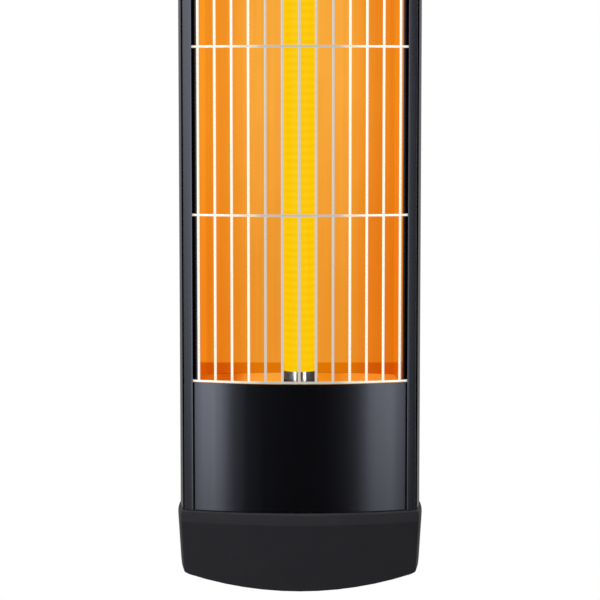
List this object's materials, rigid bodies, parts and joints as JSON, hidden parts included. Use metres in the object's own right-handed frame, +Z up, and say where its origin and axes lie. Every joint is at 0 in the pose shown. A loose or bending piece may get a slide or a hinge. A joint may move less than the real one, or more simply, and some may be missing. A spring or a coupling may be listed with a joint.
{
  "type": "infrared heater",
  "caption": "Tall wall-mounted linear infrared heater: black extruded body, polished trough reflector, quartz lamp behind a wire guard, curved covers and moulded end caps on tilting brackets.",
  "frame": {"origin": "in the wall plane, midway between the two wall brackets and level with the middle of the heater", "axes": "+Z up along the heater's length, +Y into the wall, -Y the way the heater shines, +X to the right of someone who faces it"},
  "size_m": [0.164, 0.1378, 0.7171],
  "materials": {
    "anodised_black": "satin black anodised extrusion",
    "cap_plastic": "fine-textured dark grey moulding",
    "switch_plastic": "smooth black",
    "reflector_sheet": "polished, lit orange by the lamp",
    "chromed_wire": "bright plated",
    "bright_steel": "polished",
    "zinc_steel": "zinc plated",
    "bracket_steel": "black powder coat",
    "quartz": "clear fused quartz",
    "hot_wire": "glowing wound wire",
    "ceramic": "unglazed steatite",
    "nylon": "natural moulding",
    "seal_rubber": "smooth",
    "lead_sleeve": "silicone-sleeved wire"
  },
  "bodies": {
    "wall_brackets": {"wall_bracket_lower": "bracket_steel", "wall_bracket_upper": "bracket_steel", "pivot_bolt_lower": "zinc_steel", "pivot_bolt_upper": "zinc_steel", "pivot_nut_lower": "zinc_steel", "pivot_nut_upper": "zinc_steel"},
    "heater": {"housing": "anodised_black", "wire_guard": "chromed_wire", "reflector": "reflector_sheet", "quartz_tube": "quartz", "heating_coil": "hot_wire", "switch_frame": "switch_plastic", "gland_body": "cap_plastic", "gland_locknut": "cap_plastic", "gland_dome_nut": "cap_plastic", "gland_seal": "seal_rubber", "terminal_block": "nylon", "thermal_cutout": "ceramic", "lead_upper_lamp": "lead_sleeve", "lead_cutout": "lead_sleeve", "lead_switch": "lead_sleeve", "lead_lower_lamp": "lead_sleeve", "end_cap_lower": "cap_plastic", "end_cap_upper": "cap_plastic", "end_cap_screw_1_lower": "zinc_steel", "end_cap_screw_2_lower": "zinc_steel", "end_cap_screw_3_lower": "zinc_steel", "end_cap_screw_4_lower": "zinc_steel", "end_cap_screw_1_upper": "zinc_steel", "end_cap_screw_2_upper": "zinc_steel", "end_cap_screw_3_upper": "zinc_steel", "end_cap_screw_4_upper": "zinc_steel", "front_cover_lower": "anodised_black", "front_cover_upper": "anodised_black", "reflector_end_lower": "reflector_sheet", "reflector_end_upper": "reflector_sheet", "lamp_ferrule_lower": "bright_steel", "lamp_ferrule_upper": "bright_steel", "lamp_insulator_lower": "ceramic", "lamp_insulator_upper": "ceramic", "lamp_holder_lower": "zinc_steel", "lamp_holder_upper": "zinc_steel", "holder_screw_lower": "zinc_steel", "holder_screw_upper": "zinc_steel", "bracket_arm_lower": "bracket_steel", "bracket_arm_upper": "bracket_steel", "lock_bolt_lower": "zinc_steel", "lock_bolt_upper": "zinc_steel", "lock_nut_lower": "zinc_steel", "lock_nut_upper": "zinc_steel", "tee_bolt_1_lower": "zinc_steel", "tee_bolt_2_lower": "zinc_steel", "tee_bolt_1_upper": "zinc_steel", "tee_bolt_2_upper": "zinc_steel", "tee_nut_1_lower": "zinc_steel", "tee_nut_2_lower": "zinc_steel", "tee_nut_1_upper": "zinc_steel", "tee_nut_2_upper": "zinc_steel"},
    "rocker": {"switch_rocker": "switch_plastic"}
  },
  "joints": [
    {"name": "tilt", "type": "hinge", "parent": "wall_brackets", "child": "heater", "pos_m": [0, -0.027, 0], "axis": [0, 0, 1], "range_deg": [-30, 30]},
    {"name": "switch_tip", "type": "hinge", "parent": "heater", "child": "rocker", "pos_m": [0, -0.094, -0.355], "axis": [0, 1, 0], "range_deg": [0, 20]}
  ]
}
